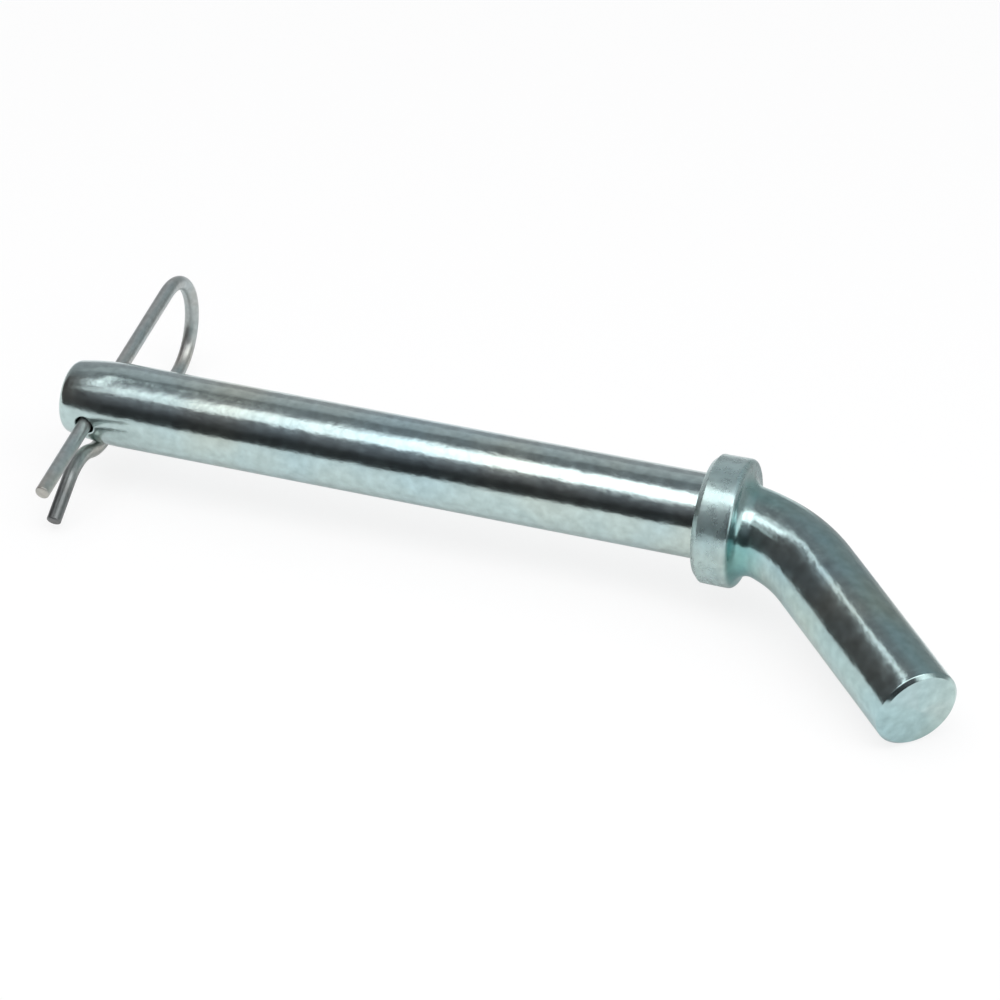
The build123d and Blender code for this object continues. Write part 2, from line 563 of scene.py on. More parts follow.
@dataclass
class Forging:
    """The pin: a bar with a crowned nose and a cross hole, an upset collar and a bent handle.

    It is worked out in the bend's own directions: x along the shank to the handle, y out of
    the bend, z across it. Columns run round the bar at equal angles, starting at the hole.
    The first fields are its form, the next ones where forging shows and where shade is
    painted behind the collar, and the last ones how finely the mesh is divided. Sizes are in
    millimetres and angles in degrees, but leg_turn, the direction of the clip's leg about x,
    is in radians.
    """

    bar_radius: float
    tip: float
    nose_start: float
    leg_turn: float
    hole_clock: float = -2.0
    hole_setback: float = 5.9
    hole_radius: float = 1.85
    hole_break: float = 0.35
    nose_crown: float = 57.0
    nose_taper: float = 4.2
    tip_edge: float = 1.8
    root: float = 0.3
    collar_radius: float = 12.0
    collar_thick: float = 7.3
    collar_chamfer: float = 1.1
    collar_edge: float = 1.1
    cove: float = 2.8
    bend_start: float = 1.5
    bend_radius: float = 30.0
    bend_angle: float = 46.0
    grip: float = 38.0
    end_chamfer: float = 0.7
    end_edge: float = 0.3

    unevenness: float = 0.08
    unevenness_length: float = 7.0
    unevenness_stretch: float = 1.5
    unevenness_seed: int = 4
    uneven_places: tuple[float, ...] = (0.8, 2.0, 12.0, 20.0)
    uneven_shares: tuple[float, ...] = (0.0, 1.0, 1.0, 0.2)
    uneven_core: float = 1.0
    forged_from: float = -0.8
    forged_fades_at: float = 13.0
    forged_at_grip: float = 0.4
    # Where shade is painted: the corner behind the collar, strongest on the lower side.
    shade_lead: float = 1.0
    shade_fades: tuple[float, float] = (13.0, 20.0)
    shade_at_grip: float = 0.2
    shade_below_rim: tuple[float, float] = (1.6, 0.6)
    shade_lowness: tuple[float, ...] = (-0.8, -0.6, -0.25, 0.4)
    shade_shares: tuple[float, ...] = (0.6, 0.1, 0.1, 1.0)
    shade_core: float = 0.1

    columns: int = 192
    patch_half: int = 12
    middle_ring: float = 0.7
    tip_gap: float = 0.1
    end_gap: float = 0.12
    shank_step: float = 0.9
    rim_step: float = 0.45
    grip_step: float = 0.75
    face_rows: int = 7
    tip_rows: int = 12
    edge_rows: int = 5
    back_rows: int = 15
    cove_rows: int = 18
    bend_rows: int = 64
    end_rows: int = 8
    mouth_rings: int = 8
    mouth_bunching: float = 0.8
    break_rings: int = 5
    wall_rings: int = 10
    halvings: int = 40

    @property
    def hole_angle(self) -> float:
        """Angle of the cross hole about the bar, from the bend's outside, in radians."""
        return math.radians(self.hole_clock)

    @property
    def turn(self) -> float:
        """How far the bend's directions are turned about x, so that the hole takes the clip's leg."""
        return self.leg_turn - self.hole_angle

    @property
    def whole_turn(self) -> float:
        """Turn of the whole bend, in radians."""
        return math.radians(self.bend_angle)

    @property
    def rim_round(self) -> tuple[float, float]:
        """Place along x, and radius, of the centre of the round between the collar's rim and back."""
        return self.collar_thick - self.collar_edge, self.collar_radius - self.collar_edge

    @property
    def chamfer_reach(self) -> float:
        """How far the arc of a small edge reaches along each face of a 45 degree chamfer."""
        return self.end_edge * math.tan(math.radians(22.5))

    @property
    def angles(self) -> np.ndarray:
        """Angle of each column about the bar, in radians."""
        return self.hole_angle + np.linspace(0, 2 * np.pi, self.columns, endpoint=False)

    @property
    def hole_x(self) -> float:
        """Place of the cross hole's axis along the shank."""
        return self.tip + self.hole_setback

    @property
    def hug_surface(self) -> float:
        """Radius of the solid's taper at the cross hole, which the clip's bend is set to."""
        return self.bar_radius - (self.nose_start - self.hole_x) * math.tan(math.radians(self.nose_taper))

    def nose_radius(self, x: np.ndarray) -> np.ndarray:
        """Radius of the crown: an arc of radius nose_crown, tangent to the bar at nose_start."""
        fall = self.nose_crown - np.sqrt(self.nose_crown**2 - np.minimum(x - self.nose_start, 0) ** 2)
        return self.bar_radius - fall

    def nose_profile(self) -> tuple[np.ndarray, int]:
        """Profile from the tip's middle to the start of the shank.

        The tip's edge is an arc that touches the end plane and the crown from inside: its
        centre lies tip_edge behind the plane and nose_crown - tip_edge from the crown's centre.

        Returns:
            Points (x, radius), and the number of the first row of the hole's square.
        """
        crown_centre = np.array([self.nose_start, self.bar_radius - self.nose_crown])
        reach = self.nose_crown - self.tip_edge
        edge_x = self.tip + self.tip_edge
        edge_r = crown_centre[1] + math.sqrt(reach**2 - (edge_x - crown_centre[0]) ** 2)
        meet = math.degrees(math.atan2(edge_r - crown_centre[1], edge_x - crown_centre[0]))
        flat = np.linspace(self.middle_ring, edge_r - self.tip_gap, self.face_rows)
        face = np.stack([np.full_like(flat, self.tip), flat], axis=1)
        edge = arc((edge_x, edge_r), self.tip_edge, 180, meet - 180, self.tip_rows)
        step = 2 * np.pi * self.bar_radius / self.columns
        side = self.patch_half * step
        before = spaced(edge[-1, 0], self.hole_x - side, step)[1:]
        square = np.linspace(self.hole_x - side, self.hole_x + side, 2 * self.patch_half + 1)
        after = spaced(self.hole_x + side, self.nose_start, 2 * step)[1:]
        along = np.concatenate([before, square, after])
        crown = np.stack([along, self.nose_radius(along)], axis=1)
        return np.concatenate([face, edge, crown]), len(face) + len(edge) + len(before)

    def collar_profile(self) -> np.ndarray:
        """Profile of the shank, its root, the bearing face and the collar's rim.

        Small arcs round the root and both edges of the rim's front chamfer.

        Returns:
            Points (x, radius).
        """
        shank = spaced(self.nose_start, -self.root, self.shank_step)
        root = arc((-self.root, self.bar_radius + self.root), self.root, -90, 90, self.edge_rows)
        flat_end = self.collar_radius - self.collar_chamfer - self.chamfer_reach
        flat = np.linspace(root[-1, 1], flat_end, self.face_rows)[1:-1]
        rim_edge = (self.collar_chamfer + self.chamfer_reach, self.collar_radius - self.end_edge)
        edge = np.concatenate([
            arc((self.end_edge, flat_end), self.end_edge, 180, -45, self.edge_rows),
            arc(rim_edge, self.end_edge, 135, -45, self.edge_rows),
        ])
        rim = spaced(edge[-1, 0], self.rim_round[0], self.rim_step)[1:]
        return np.concatenate([
            np.stack([shank, np.full_like(shank, self.bar_radius)], axis=1),
            root,
            np.stack([np.zeros_like(flat), flat], axis=1),
            edge,
            np.stack([rim, np.full_like(rim, self.collar_radius)], axis=1),
        ])

    def turned(self, profile: np.ndarray) -> np.ndarray:
        """Turns a profile about x: (x, r cos a, r sin a) for each column's angle a."""
        x, r = profile[:, :1], profile[:, 1:]
        return np.stack([x + 0 * self.angles, r * np.cos(self.angles), r * np.sin(self.angles)], axis=-1)

    def on_tube(self, turn: np.ndarray, radius: float) -> np.ndarray:
        """Points at a radius about the bend's centreline.

        At a turn t of the bend, (start + (R + r cos a) sin t, (R + r cos a) cos t - R, r sin a).

        Args:
            turn: Turn of the bend for each column, or rows of such turns, in radians.
            radius: The distance from the centreline.

        Returns:
            A point for each turn.
        """
        arm = self.bend_radius + radius * np.cos(self.angles)
        across = radius * np.sin(self.angles) + 0 * turn
        x, y = self.bend_start + arm * np.sin(turn), arm * np.cos(turn) - self.bend_radius
        return np.stack([x, y, across], axis=-1)

    def ball_on_tube(self, turn: np.ndarray) -> tuple[np.ndarray, np.ndarray, np.ndarray]:
        """A ball of the cove's radius that lies on the tube, and how it lies to the collar.

        Its distance from the collar is its centre's distance from that of the rim's round, or
        from the disc within it, less both radii.

        Args:
            turn: Turn of the bend where it lies, for each column, in radians.

        Returns:
            Its distance from the collar, its centre, and the way from the round's centre or the
            disc to it, along x and outwards.
        """
        round_x, round_r = self.rim_round
        centre = self.on_tube(turn, self.bar_radius + self.cove)
        r = np.hypot(centre[:, 1], centre[:, 2])
        out_x, out_r = centre[:, 0] - round_x, np.maximum(r - round_r, 0)
        apart = np.hypot(out_x, out_r) - self.collar_edge - self.cove
        return apart, centre, np.stack([out_x, out_r], axis=1)

    def ball_in_cove(self) -> tuple[np.ndarray, np.ndarray, np.ndarray]:
        """Centre of a ball of the cove's radius that rolls round between the collar and the tube.

        It keeps bar radius + cove from the bend's centreline, and touches the collar's flat
        back or, further out, the round of its rim. The turn is found by halving, from between
        0 and 1 radian.

        Returns:
            The turn of the bend for each column, the ball's centre, and the direction from it
            to where it touches the collar.
        """
        low, high = np.zeros(self.columns), np.ones(self.columns)
        for _ in range(self.halvings):
            middle = (low + high) / 2
            short = self.ball_on_tube(middle)[0] < 0
            low, high = np.where(short, middle, low), np.where(short, high, middle)
        turn = (low + high) / 2
        _, centre, out = self.ball_on_tube(turn)
        out /= np.linalg.norm(out, axis=1, keepdims=True)
        outward = centre[:, 1:] / np.hypot(centre[:, 1], centre[:, 2])[:, None]
        return turn, centre, -np.concatenate([out[:, :1], out[:, 1:] * outward], axis=1)

    def collar_back(self, centre: np.ndarray, touch: np.ndarray) -> np.ndarray:
        """Round and flat of the collar's back, from the rim to where the cove touches it.

        Each column runs along the round by its angle and then straight in, at even lengths,
        while its direction turns from the column's angle to that of the touching point.

        Args:
            centre: The ball's centre for each column.
            touch: Direction from there to where it touches the collar.

        Returns:
            Rows by columns by 3.
        """
        round_x, round_r = self.rim_round
        end = centre + self.cove * touch
        end_r = np.hypot(end[:, 1], end[:, 2])
        touch_angle = np.arctan2(-touch[:, 0], np.hypot(touch[:, 1], touch[:, 2]))
        sweep = np.where(end_r >= round_r, touch_angle, np.pi / 2)
        flat = np.maximum(round_r - end_r, 0)
        share = np.linspace(0, 1, self.back_rows, endpoint=False)[:, None]
        gone = share * (self.collar_edge * sweep + flat)
        angle = np.minimum(gone / self.collar_edge, sweep)
        inward = np.maximum(gone - self.collar_edge * sweep, 0)
        x = round_x + self.collar_edge * np.sin(angle)
        r = round_r + self.collar_edge * np.cos(angle) - inward
        drift = np.angle(np.exp(1j * (np.arctan2(end[:, 2], end[:, 1]) - self.angles)))
        way = self.angles + share * drift
        return np.stack([x, r * np.cos(way), r * np.sin(way)], axis=-1)

    def cove_surface(self, turn: np.ndarray, centre: np.ndarray, touch: np.ndarray) -> np.ndarray:
        """The cove: an arc on the ball, from the collar to the tube, in each column.

        With w the angle between both directions, sin((1 - s) w) of the first and sin(s w) of
        the second, over sin w.

        Args:
            turn: Turn of the bend where the ball touches the tube, for each column.
            centre: The ball's centre.
            touch: Direction from there to where it touches the collar.

        Returns:
            Rows by columns by 3.
        """
        to_tube = (self.on_tube(turn, self.bar_radius) - centre) / self.cove
        between = np.arccos(np.clip((touch * to_tube).sum(-1), -1, 1))[:, None]
        share = np.linspace(0, 1, self.cove_rows, endpoint=False)[:, None, None]
        way = (np.sin((1 - share) * between) * touch + np.sin(share * between) * to_tube) / np.sin(between)
        return centre + self.cove * way

    def handle(self, turn: np.ndarray) -> np.ndarray:
        """The tube along the rest of the bend and the straight grip, with its chamfered end.

        Args:
            turn: Turn of the bend where the cove ends, for each column.

        Returns:
            Rows by columns by 3.
        """
        share = np.linspace(0, 1, self.bend_rows, endpoint=False)[:, None]
        bend = self.on_tube(turn + share * (self.whole_turn - turn), self.bar_radius)
        slope = self.chamfer_reach
        face_r = self.bar_radius - self.end_chamfer
        shoulder = self.grip - self.end_chamfer
        outer = (shoulder - slope, self.bar_radius - self.end_edge)
        first = arc(outer, self.end_edge, 90, -45, self.edge_rows)
        second = arc((self.grip - self.end_edge, face_r - slope), self.end_edge, 45, -45, self.edge_rows)
        straight = spaced(0, first[0, 0] - self.end_gap, self.grip_step)
        flat = np.linspace(second[-1, 1] - self.end_gap, self.middle_ring, self.end_rows)
        profile = np.concatenate([
            np.stack([straight, np.full_like(straight, self.bar_radius)], axis=1),
            first,
            second,
            np.stack([np.full_like(flat, self.grip), flat], axis=1),
        ])
        return np.concatenate([bend, self.on_grip(profile)])

    def on_grip(self, profile: np.ndarray) -> np.ndarray:
        """Turns a profile about the grip's axis: start + d axis + r (cos a out + sin a across).

        Args:
            profile: Points (distance d along the grip, radius r).

        Returns:
            Rows by columns by 3.
        """
        last = self.whole_turn
        along, r = profile[:, :1], profile[:, 1:]
        axis = np.array([math.cos(last), -math.sin(last), 0])
        out = np.array([math.sin(last), math.cos(last), 0])
        start = np.array([self.bend_start, -self.bend_radius, 0]) + self.bend_radius * out
        across = np.array([0.0, 0.0, 1.0])
        around = np.cos(self.angles)[:, None] * out + np.sin(self.angles)[:, None] * across
        return start + along[..., None] * axis + r[..., None] * around

    def surface(self) -> tuple[np.ndarray, int]:
        """The pin's outside, from the tip to the grip's end.

        Returns:
            Rows by columns by 3, and the number of the first row of the hole's square.
        """
        nose, square_row = self.nose_profile()
        turn, centre, touch = self.ball_in_cove()
        turned = self.turned(np.concatenate([nose, self.collar_profile()]))
        back = self.collar_back(centre, touch)
        cove = self.cove_surface(turn, centre, touch)
        return np.concatenate([turned, back, cove, self.handle(turn)]), square_row

    def hole_rings(self, border: np.ndarray, side: int) -> np.ndarray:
        """Rings between the square left in the grid and the wall of the cross hole.

        Seen along the hole, a ring is the square's border drawn in to a circle; its height
        is the crown's, the root of nose radius squared less the way across squared. The last
        rings round the mouth's broken edge over into the wall.

        Args:
            border: The square's border points, in order round it.
            side: 1 for the mouth at the first column, -1 for the one opposite.

        Returns:
            Rings by points by 3, from just inside the border to the wall.
        """
        flat = self.seen_along_hole(border)
        way = flat / np.linalg.norm(flat, axis=1, keepdims=True)
        mouth = self.hole_radius + self.hole_break
        share = np.linspace(0, 1, self.mouth_rings + 1)[1:, None, None] ** self.mouth_bunching
        on_crown = flat + share * (mouth * way - flat)
        rings = [self.above_hole(ring, side, 0.0) for ring in on_crown]
        for angle in np.radians(np.linspace(0, 90, self.break_rings + 1)[1:]):
            radius = mouth - self.hole_break * math.sin(angle)
            sink = self.hole_break * (1 - math.cos(angle))
            rings.append(self.above_hole(radius * way, side, sink))
        return np.stack(rings)

    def hole_frame(self) -> tuple[np.ndarray, np.ndarray]:
        """Direction of the hole, and the direction across it and the shank."""
        out = np.array([0.0, math.cos(self.hole_angle), math.sin(self.hole_angle)])
        return out, np.array([0.0, -out[2], out[1]])

    def seen_along_hole(self, points: np.ndarray) -> np.ndarray:
        """Coordinates of points along the shank and across it, from the hole's axis."""
        across = self.hole_frame()[1]
        return np.stack([points[:, 0] - self.hole_x, points @ across], axis=1)

    def above_hole(self, flat: np.ndarray, side: int, sink: float) -> np.ndarray:
        """Lifts points seen along the hole to the crown, less a depth.

        Args:
            flat: Coordinates along the shank and across it, from the hole's axis.
            side: 1 for the first mouth, -1 for the one opposite.
            sink: The depth.

        Returns:
            The points, n by 3.
        """
        out, across = self.hole_frame()
        x = self.hole_x + flat[:, 0]
        height = np.sqrt(self.nose_radius(x) ** 2 - flat[:, 1] ** 2) - sink
        return np.stack([x, 0 * x, 0 * x], axis=1) + flat[:, 1:] * across + side * height[:, None] * out

    def border(self, row: int, column: int) -> tuple[np.ndarray, np.ndarray]:
        """Where the border of the hole's square runs in the grid, in order round it.

        Args:
            row: The square's first row.
            column: Its middle column.

        Returns:
            Row numbers and column numbers of the border's vertices.
        """
        size = 2 * self.patch_half
        left, right = column - self.patch_half, column + self.patch_half
        rows = np.concatenate([
            np.full(size, row), np.arange(row, row + size),
            np.full(size, row + size), np.arange(row + size, row, -1),
        ])
        columns = np.concatenate([
            np.arange(left, right), np.full(size, right),
            np.arange(right, left, -1), np.full(size, left),
        ])
        return rows, columns % self.columns

    def outside_quads(self, number: np.ndarray, square_row: int) -> np.ndarray:
        """Quads of the outside, without those in the hole's two squares.

        Args:
            number: The vertices' numbers, rows by columns.
            square_row: The squares' first row.

        Returns:
            Vertex numbers, n by 4.
        """
        quads = ring_quads(number[:-1], number[1:]).reshape(len(number) - 1, self.columns, 4)
        keep = np.ones(quads.shape[:2], bool)
        half = self.patch_half
        for column in (0, self.columns // 2):
            inside = np.arange(column - half, column + half) % self.columns
            keep[square_row : square_row + 2 * half, inside] = False
        return quads[keep]

    def build(self) -> bpy.types.Object:
        """Joins the outside, the cross hole and both ends into one closed mesh.

        Returns:
            The pin's object, turned into the frame's directions.
        """
        outside, square_row = self.surface()
        work = Patchwork()
        number = work.add(outside)
        work.faces.append(self.outside_quads(number, square_row))
        mouths = []
        for column, side in ((0, 1), (self.columns // 2, -1)):
            rows, columns = self.border(square_row, column)
            rings = self.hole_rings(outside[rows, columns], side)
            ring_numbers = work.add(rings)
            work.join(number[rows, columns], ring_numbers)
            mouths.append((ring_numbers[-1], rings[-1]))
        (top_numbers, top), (bottom_numbers, bottom) = mouths
        facing = self.facing_order(top, bottom)
        share = np.linspace(0, 1, self.wall_rings + 2)[1:-1, None, None]
        wall_numbers = work.add(top + share * (bottom[facing] - top))
        work.join(top_numbers, wall_numbers, bottom_numbers[facing])
        work.close(outside, number)
        unbent = self.straightened(work.points)
        placed = self.into_frame(self.hammered(work.points, unbent))
        return work.build("pin_forging", placed, unbent, self.shares(unbent))

    def dressed(self, kit: ShaderKit) -> bpy.types.Object:
        """The pin's object with its finish, on the pin's body."""
        return dress(self.build(), Body.PIN, "coupling_pin", PLATE.material(kit))

    def shares(self, unbent: np.ndarray) -> dict[Mark, np.ndarray]:
        """How far the bar was forged, and how much shade is painted behind the collar, at each vertex.

        It is forged from the bearing face over the collar, and less so along the handle. Painted
        shade lies in the corner behind the collar, up to near its rim, and fades along the bend.
        It is strongest on the lower side, which is away from the bend's outside and from its
        left, weaker on the opposite side, and hardly between them.

        Args:
            unbent: Where each vertex lies on the straight bar.

        Returns:
            Shares from 0 to 1.
        """
        along, r = unbent[:, 0], np.maximum(np.hypot(unbent[:, 1], unbent[:, 2]), self.shade_core)
        back = self.collar_thick
        forged_places = [self.forged_from, 0.0, back, self.forged_fades_at]
        forged = np.interp(along, forged_places, [0.0, 1.0, 1.0, self.forged_at_grip])
        # Painted shade behind the collar, up to near its rim, strongest on the lower side.
        shade_places = [back - self.shade_lead, back, *self.shade_fades]
        corner = np.interp(along, shade_places, [0.0, 1.0, 1.0, self.shade_at_grip])
        within = np.interp(r, self.collar_radius - np.array(self.shade_below_rim), [1.0, 0.0])
        lowness = -(unbent[:, 1] + unbent[:, 2]) / (math.sqrt(2) * r)
        low_side = np.interp(lowness, self.shade_lowness, self.shade_shares)
        return {Mark.FORGED: forged, Mark.CORNER_SHADE: corner * within * low_side}

    def hammered(self, points: np.ndarray, unbent: np.ndarray) -> np.ndarray:
        """Points moved along the tube's radius by the unevenness that forging leaves.

        It is a smooth ripple, full from the collar's rim to the start of the bend, faint on
        the handle, and none on the shank and the bearing face.

        Args:
            points: Positions in the bend's directions, n by 3.
            unbent: Where they lie on the straight bar.

        Returns:
            The moved points.
        """
        share = np.interp(unbent[:, 0], self.uneven_places, self.uneven_shares)
        waves = ripple(unbent, self.unevenness_length, self.unevenness_stretch, self.unevenness_seed)
        rise = self.unevenness * share * waves
        turn = np.clip((unbent[:, 0] - self.bend_start) / self.bend_radius, 0, self.whole_turn)
        ways = unbent[:, 1:] / np.maximum(np.hypot(unbent[:, 1], unbent[:, 2]), self.uneven_core)[:, None]
        out = np.stack([ways[:, 0] * np.sin(turn), ways[:, 0] * np.cos(turn), ways[:, 1]], axis=1)
        return points + rise[:, None] * out

    def straightened(self, points: np.ndarray) -> np.ndarray:
        """Where points would lie on the straight bar.

        The turn of the bend at a point is the angle round the bend's centre, kept between 0
        and the whole bend. The first coordinate is the centreline's length up to that turn
        plus the point's way along the tube's axis there, the second its way out of the bend.

        Args:
            points: Positions in the bend's directions, n by 3.

        Returns:
            As many places on the straight bar.
        """
        x, y = points[:, 0] - self.bend_start, points[:, 1] + self.bend_radius
        turn = np.clip(np.arctan2(x, y), 0, self.whole_turn)
        cos, sin = np.cos(turn), np.sin(turn)
        along = self.bend_start + self.bend_radius * turn + x * cos - y * sin
        return np.stack([along, x * sin + y * cos - self.bend_radius, points[:, 2]], axis=1)

    def facing_order(self, top: np.ndarray, bottom: np.ndarray) -> np.ndarray:
        """For each point of the upper mouth, the number of the lower one's point across from it."""
        upper, lower = self.seen_along_hole(top), self.seen_along_hole(bottom)
        return np.linalg.norm(upper[:, None] - lower[None], axis=-1).argmin(axis=1)

    def into_frame(self, points: np.ndarray) -> np.ndarray:
        """Turns points about x, from the bend's directions into the frame's.

        Args:
            points: Positions, n by 3.

        Returns:
            The turned positions.
        """
        cos, sin = math.cos(self.turn), math.sin(self.turn)
        return np.stack([
            points[:, 0],
            points[:, 1] * cos - points[:, 2] * sin,
            points[:, 1] * sin + points[:, 2] * cos,
        ], axis=1)


# ------------------------------------------------------------------ the clip


@dataclass
class SpringClip:
    """The clip: one round wire with a straight leg, a head loop and a sprung outer leg.

    Its path lies in a plane across the shank at the cross hole: u runs along the leg to the
    head loop and v from the leg to the outer one. All bends meet their neighbours at tangents.
    The first fields are its form and where its end is dark, and the last ones how finely the
    mesh is divided. Sizes are in millimetres and angles in degrees, but leg_turn, the leg's
    direction about x, is in radians.
    """

    hole_x: float
    leg_turn: float
    hug_surface: float
    wire_radius: float = 1.4
    leg_tail: float = 27.5
    loop_reach: float = 33.3
    loop_radius: float = 10.3
    hug_gap: float = 0.2
    hug_radius: float = 12.0
    hug_half_angle: float = 35.0
    neck_radius: float = 6.0
    waist_radius: float = 10.2
    flare_angle: float = 22.5
    flare_length: float = 9.0
    end_round: float = 0.3
    dark_end: tuple[float, float] = (14.0, 6.0)

    sides: int = 40
    step: float = 0.45
    least_in_bend: int = 6
    least_in_run: int = 2
    middle_ring: float = 0.15
    disc_rows: int = 4
    edge_rows: int = 6

    def bend(self, centre: tuple[float, float], radius: float, start: float, sweep: float) -> np.ndarray:
        """Points of one bend, about a step apart."""
        count = max(self.least_in_bend, math.ceil(radius * math.radians(abs(sweep)) / self.step))
        return arc(centre, radius, start, sweep, count)

    def run(self, first: np.ndarray, last: np.ndarray) -> np.ndarray:
        """Points between two ends of bends, without the ends, about a step apart."""
        count = max(self.least_in_run, math.ceil(float(np.linalg.norm(last - first)) / self.step))
        return first + np.linspace(0, 1, count + 1)[1:-1, None] * (last - first)

    def path(self) -> np.ndarray:
        """Centreline (u, v), from the end of the straight leg to the end of the flare.

        The hug's centre lies below its crest by its radius; the neck's and the waist's lie on
        lines from it at half its angle, a sum of radii away; the slanted run touches the neck
        and the loop from opposite sides, which gives its slope.

        Returns:
            Points, n by 2.
        """
        half = math.radians(self.hug_half_angle)
        crest = self.hug_surface + self.hug_gap + self.wire_radius
        hug = (0.0, crest - self.hug_radius)
        neck_reach, waist_reach = self.hug_radius + self.neck_radius, self.hug_radius + self.waist_radius
        neck = (neck_reach * math.sin(half), hug[1] + neck_reach * math.cos(half))
        waist = (-waist_reach * math.sin(half), hug[1] + waist_reach * math.cos(half))
        loop = (self.loop_reach, self.loop_radius)
        across, rise = loop[0] - neck[0], loop[1] - neck[1]
        lean = math.asin((self.neck_radius + self.loop_radius) / math.hypot(across, rise))
        slant = math.degrees(math.atan2(rise, across) + lean)
        loop_bend = self.bend(loop, self.loop_radius, -90, 180 + slant)
        neck_bend = self.bend(neck, self.neck_radius, slant - 90, -(slant + self.hug_half_angle))
        hug_bend = self.bend(hug, self.hug_radius, 90 - self.hug_half_angle, 2 * self.hug_half_angle)
        waist_bend = self.bend(
            waist, self.waist_radius, self.hug_half_angle - 90, -(self.hug_half_angle + self.flare_angle)
        )
        flare = math.radians(self.flare_angle)
        flare_end = waist_bend[-1] + self.flare_length * np.array([-math.cos(flare), math.sin(flare)])
        leg_end = np.array([-self.leg_tail, 0.0])
        return np.concatenate([
            leg_end[None], self.run(leg_end, loop_bend[0]), loop_bend,
            self.run(loop_bend[-1], neck_bend[0]), neck_bend, hug_bend[1:], waist_bend[1:],
            self.run(waist_bend[-1], flare_end), flare_end[None],
        ])

    def stations(self, path: np.ndarray) -> tuple[np.ndarray, np.ndarray, np.ndarray]:
        """The wire's rings, with a flat and a rounded edge at both ends.

        Args:
            path: The centreline.

        Returns:
            The rings' middles, the wire's direction at each, and their radii.
        """
        tangent = np.gradient(path, axis=0)
        tangent /= np.linalg.norm(tangent, axis=1, keepdims=True)
        angles = np.radians(np.linspace(0, 90, self.edge_rows))
        flat_radius = self.wire_radius - self.end_round
        disc = np.linspace(self.middle_ring, flat_radius, self.disc_rows, endpoint=False)
        shrink = self.wire_radius - self.end_round * (1 - np.sin(angles))
        inset = self.end_round * (1 - np.cos(angles))
        end_radii = np.concatenate([disc, shrink])
        end_insets = np.concatenate([0 * disc, inset])[:, None]
        middles = np.concatenate([
            path[0] + end_insets * tangent[0], path[1:-1], path[-1] - end_insets[::-1] * tangent[-1],
        ])
        radii = np.concatenate([end_radii, np.full(len(path) - 2, self.wire_radius), end_radii[::-1]])
        count = len(end_radii)
        ways = np.concatenate([
            np.repeat(tangent[:1], count, axis=0), tangent[1:-1], np.repeat(tangent[-1:], count, axis=0),
        ])
        return middles, ways, radii

    def build(self) -> bpy.types.Object:
        """Carries the wire's circle along the path.

        A ring is middle + radius (cos a across + sin a out), with across the path's left in
        its plane and out the plane's normal, which points to the tip. The flare's end counts
        as forged, so that it takes the wire's dark tint.

        Returns:
            The clip's object.
        """
        middles, ways, radii = self.stations(self.path())
        angles = np.linspace(0, 2 * np.pi, self.sides, endpoint=False)
        steps = np.linalg.norm(np.diff(middles, axis=0, prepend=middles[:1]), axis=1)
        straight = np.stack([
            np.cumsum(steps)[:, None] + 0 * angles,
            radii[:, None] * np.cos(angles),
            radii[:, None] * np.sin(angles),
        ], axis=-1)
        left = np.stack([-ways[:, 1], ways[:, 0]], axis=1)
        flat = middles[:, None] + radii[:, None, None] * np.cos(angles)[:, None] * left[:, None]
        depth = radii[:, None] * np.sin(angles)
        leg = np.array([0.0, math.cos(self.leg_turn), math.sin(self.leg_turn)])
        over = np.array([0.0, leg[2], -leg[1]])
        rings = flat[..., :1] * leg + flat[..., 1:] * over + depth[..., None] * np.array([-1.0, 0.0, 0.0])
        rings[..., 0] += self.hole_x
        work = Patchwork()
        number = work.add(rings)
        work.join(number)
        work.close(rings, number)
        unbent = np.concatenate([straight.reshape(-1, 3), straight[[0, -1]].mean(axis=1)])
        dark_places = unbent[:, 0].max() - np.array(self.dark_end)
        shares = {
            Mark.FORGED: np.interp(unbent[:, 0], dark_places, [0.0, 1.0]),
            Mark.CORNER_SHADE: np.zeros(len(unbent)),
        }
        return work.build("clip_wire", work.points, unbent, shares)

    def dressed(self, kit: ShaderKit) -> bpy.types.Object:
        """The clip's object with its finish, on the clip's body."""
        return dress(self.build(), Body.CLIP, "spring_clip", WIRE.material(kit))


# ------------------------------------------------------------------ studio


@dataclass(frozen=True)
class Viewpoint:
    """The camera: where it looks, from where, and how long its lens is."""

    aim: tuple[float, float, float] = (-36.5, -10.6, 2.0)
    azimuth: float = 18.92
    elevation: float = 31.8
    roll: float = 0.7
    distance: float = 773.0
    lens: float = 152.1
    sensor: float = 36.0
    clip_metres: tuple[float, float] = (0.01, 20.0)

    def build(self) -> bpy.types.Object:
        """Makes the camera, which looks back along the direction of its azimuth and elevation.

        Returns:
            The camera's object.
        """
        turn, lift = math.radians(self.azimuth), math.radians(self.elevation)
        back = Vector((math.sin(turn) * math.cos(lift), -math.cos(turn) * math.cos(lift), math.sin(lift)))
        data = bpy.data.cameras.new("camera")
        data.lens = self.lens
        data.sensor_width = self.sensor
        data.clip_start, data.clip_end = self.clip_metres
        camera = bpy.data.objects.new("camera", data)
        roll = Matrix.Rotation(math.radians(self.roll), 4, "Z")
        facing = (-back).to_track_quat("-Z", "Y").to_matrix().to_4x4() @ roll
        spot = (Vector(self.aim) + back * self.distance) * MM
        camera.matrix_world = Matrix.Translation(spot) @ facing
        bpy.context.scene.collection.objects.link(camera)
        bpy.context.scene.camera = camera
        return camera


